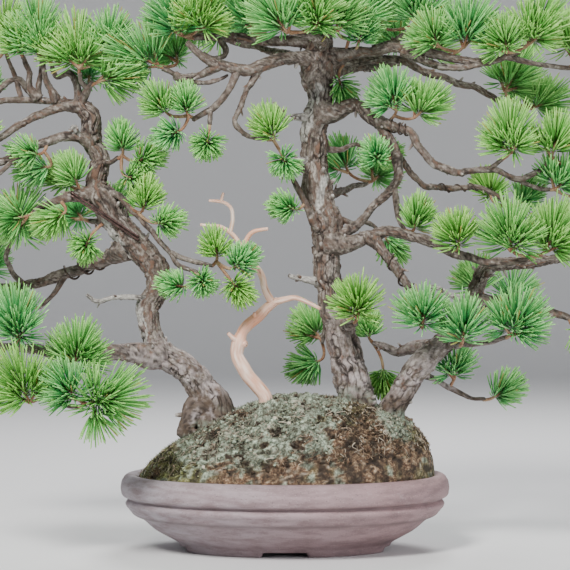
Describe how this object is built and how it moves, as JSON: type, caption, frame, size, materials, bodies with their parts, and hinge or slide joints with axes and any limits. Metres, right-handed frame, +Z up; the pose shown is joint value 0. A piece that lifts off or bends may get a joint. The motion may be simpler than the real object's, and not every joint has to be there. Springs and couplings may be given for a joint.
{
  "type": "root-connected white pine bonsai in an oval pot",
  "caption": "Root-connected Japanese white pine bonsai: living trunks and a bare dead stem rise from a mossy mound in a shallow oval unglazed clay pot, with brush-like tufts of needles.",
  "frame": {"origin": "under the middle of the pot, on the plane its foot ring stands on", "axes": "+Z up, +X to the right along the pot and the tree's width as seen from the front, +Y to the back"},
  "size_m": [0.7101, 0.3167, 0.6208],
  "materials": {
    "pot_clay": "matt unglazed clay, mauve grey with fine pale specks",
    "moss_and_soil": "moss and lichen over gritty soil",
    "bark": "rough grey-brown bark with grey dead strips",
    "bare_wood": "smooth pale reddish bare wood",
    "needles": "satin green needles on reddish-brown shoots",
    "training_wire": "dark weathered wire",
    "screen_mesh": "matt black mesh"
  },
  "bodies": {
    "root": {"bare_stem": "bare_wood", "coil_left_back_branch": "training_wire", "coil_low_right_branch": "training_wire", "coil_mid_right_far_branch": "training_wire", "coil_mid_right_near_branch": "training_wire", "drain_screen_left": "screen_mesh", "drain_screen_right": "screen_mesh", "pine_wood": "bark", "pot": "pot_clay", "soil_mound": "moss_and_soil", "spray_crown_apex": "needles", "spray_crown_far_left": "needles", "spray_crown_front": "needles", "spray_crown_hanging": "needles", "spray_crown_left_end": "needles", "spray_crown_left_top": "needles", "spray_crown_middle": "needles", "spray_crown_outer": "needles", "spray_crown_rear_left": "needles", "spray_crown_rear_right": "needles", "spray_crown_right_end": "needles", "spray_crown_right_front": "needles", "spray_crown_right_rear": "needles", "spray_crown_right_top": "needles", "spray_left_back": "needles", "spray_left_back_strand": "needles", "spray_left_edge_high": "needles", "spray_left_edge_high_end": "needles", "spray_left_edge_upper": "needles", "spray_left_high_under": "needles", "spray_left_inner": "needles", "spray_left_middle_end": "needles", "spray_left_middle_low": "needles", "spray_left_middle_top": "needles", "spray_left_rear": "needles", "spray_left_sweep": "needles", "spray_left_top": "needles", "spray_left_top_inner": "needles", "spray_low_left_end": "needles", "spray_low_left_front": "needles", "spray_low_right": "needles", "spray_low_right_grey": "needles", "spray_main_front": "needles", "spray_main_left": "needles", "spray_main_rear_low": "needles", "spray_main_rear_middle": "needles", "spray_mid_right_down": "needles", "spray_mid_right_far": "needles", "spray_mid_right_inner": "needles", "spray_mid_right_near": "needles", "spray_mid_right_top": "needles", "spray_right_front": "needles", "spray_right_inner": "needles", "spray_right_low": "needles", "spray_right_lower_end": "needles", "spray_right_rear": "needles", "spray_right_trunk_end": "needles", "stay_rod_lower": "training_wire", "stay_rod_upper": "training_wire"}
  },
  "joints": []
}
